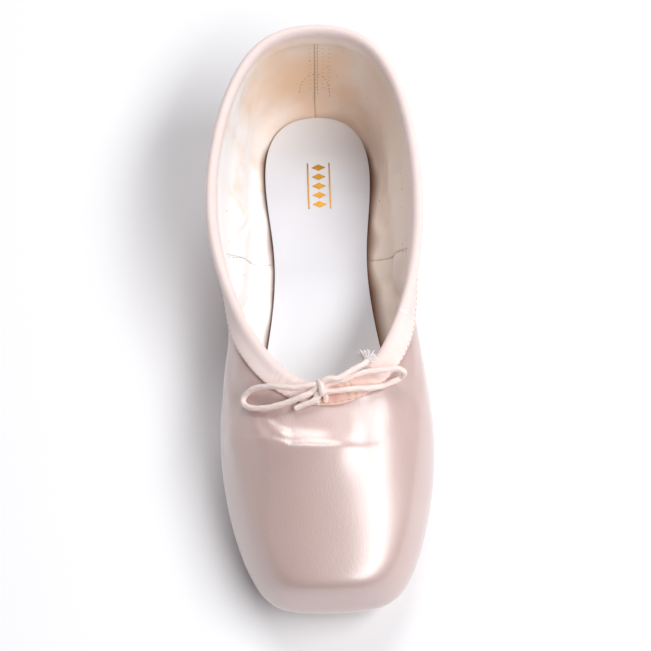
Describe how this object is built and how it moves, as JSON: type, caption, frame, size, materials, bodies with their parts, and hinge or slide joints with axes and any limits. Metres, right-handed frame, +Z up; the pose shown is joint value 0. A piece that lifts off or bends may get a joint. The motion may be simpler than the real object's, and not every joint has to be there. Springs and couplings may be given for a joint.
{
  "type": "pointe shoe",
  "caption": "Unribboned satin pointe shoe on a straight last, with a flat platform toe, a drawstring casing tied in a small bow, a thin leather sole and a white insole.",
  "frame": {"origin": "On the floor under the middle of the shoe's bounding box, measured without the bow's cord.", "axes": "+Y points from the toe to the heel along the shoe, +X to the right seen from above with the toe towards the viewer, +Z up."},
  "size_m": [0.0884, 0.2378, 0.061],
  "materials": {
    "satin": "pink cotton-backed satin with a soft long highlight",
    "tape": "matte pink twill tape with diagonal ribs",
    "cord": "matte pink braided cotton cord",
    "sole_leather": "buffed pale leather with a stitched channel",
    "insole_white": "matte white cloth-faced board"
  },
  "bodies": {
    "root": {"upper": "satin", "outsole": "sole_leather", "insole": "insole_white", "collar_binding": "tape", "bow_knot": "cord", "bow_loop_left": "cord", "bow_loop_right": "cord", "bow_end_left": "cord", "bow_end_right": "cord"}
  },
  "joints": []
}
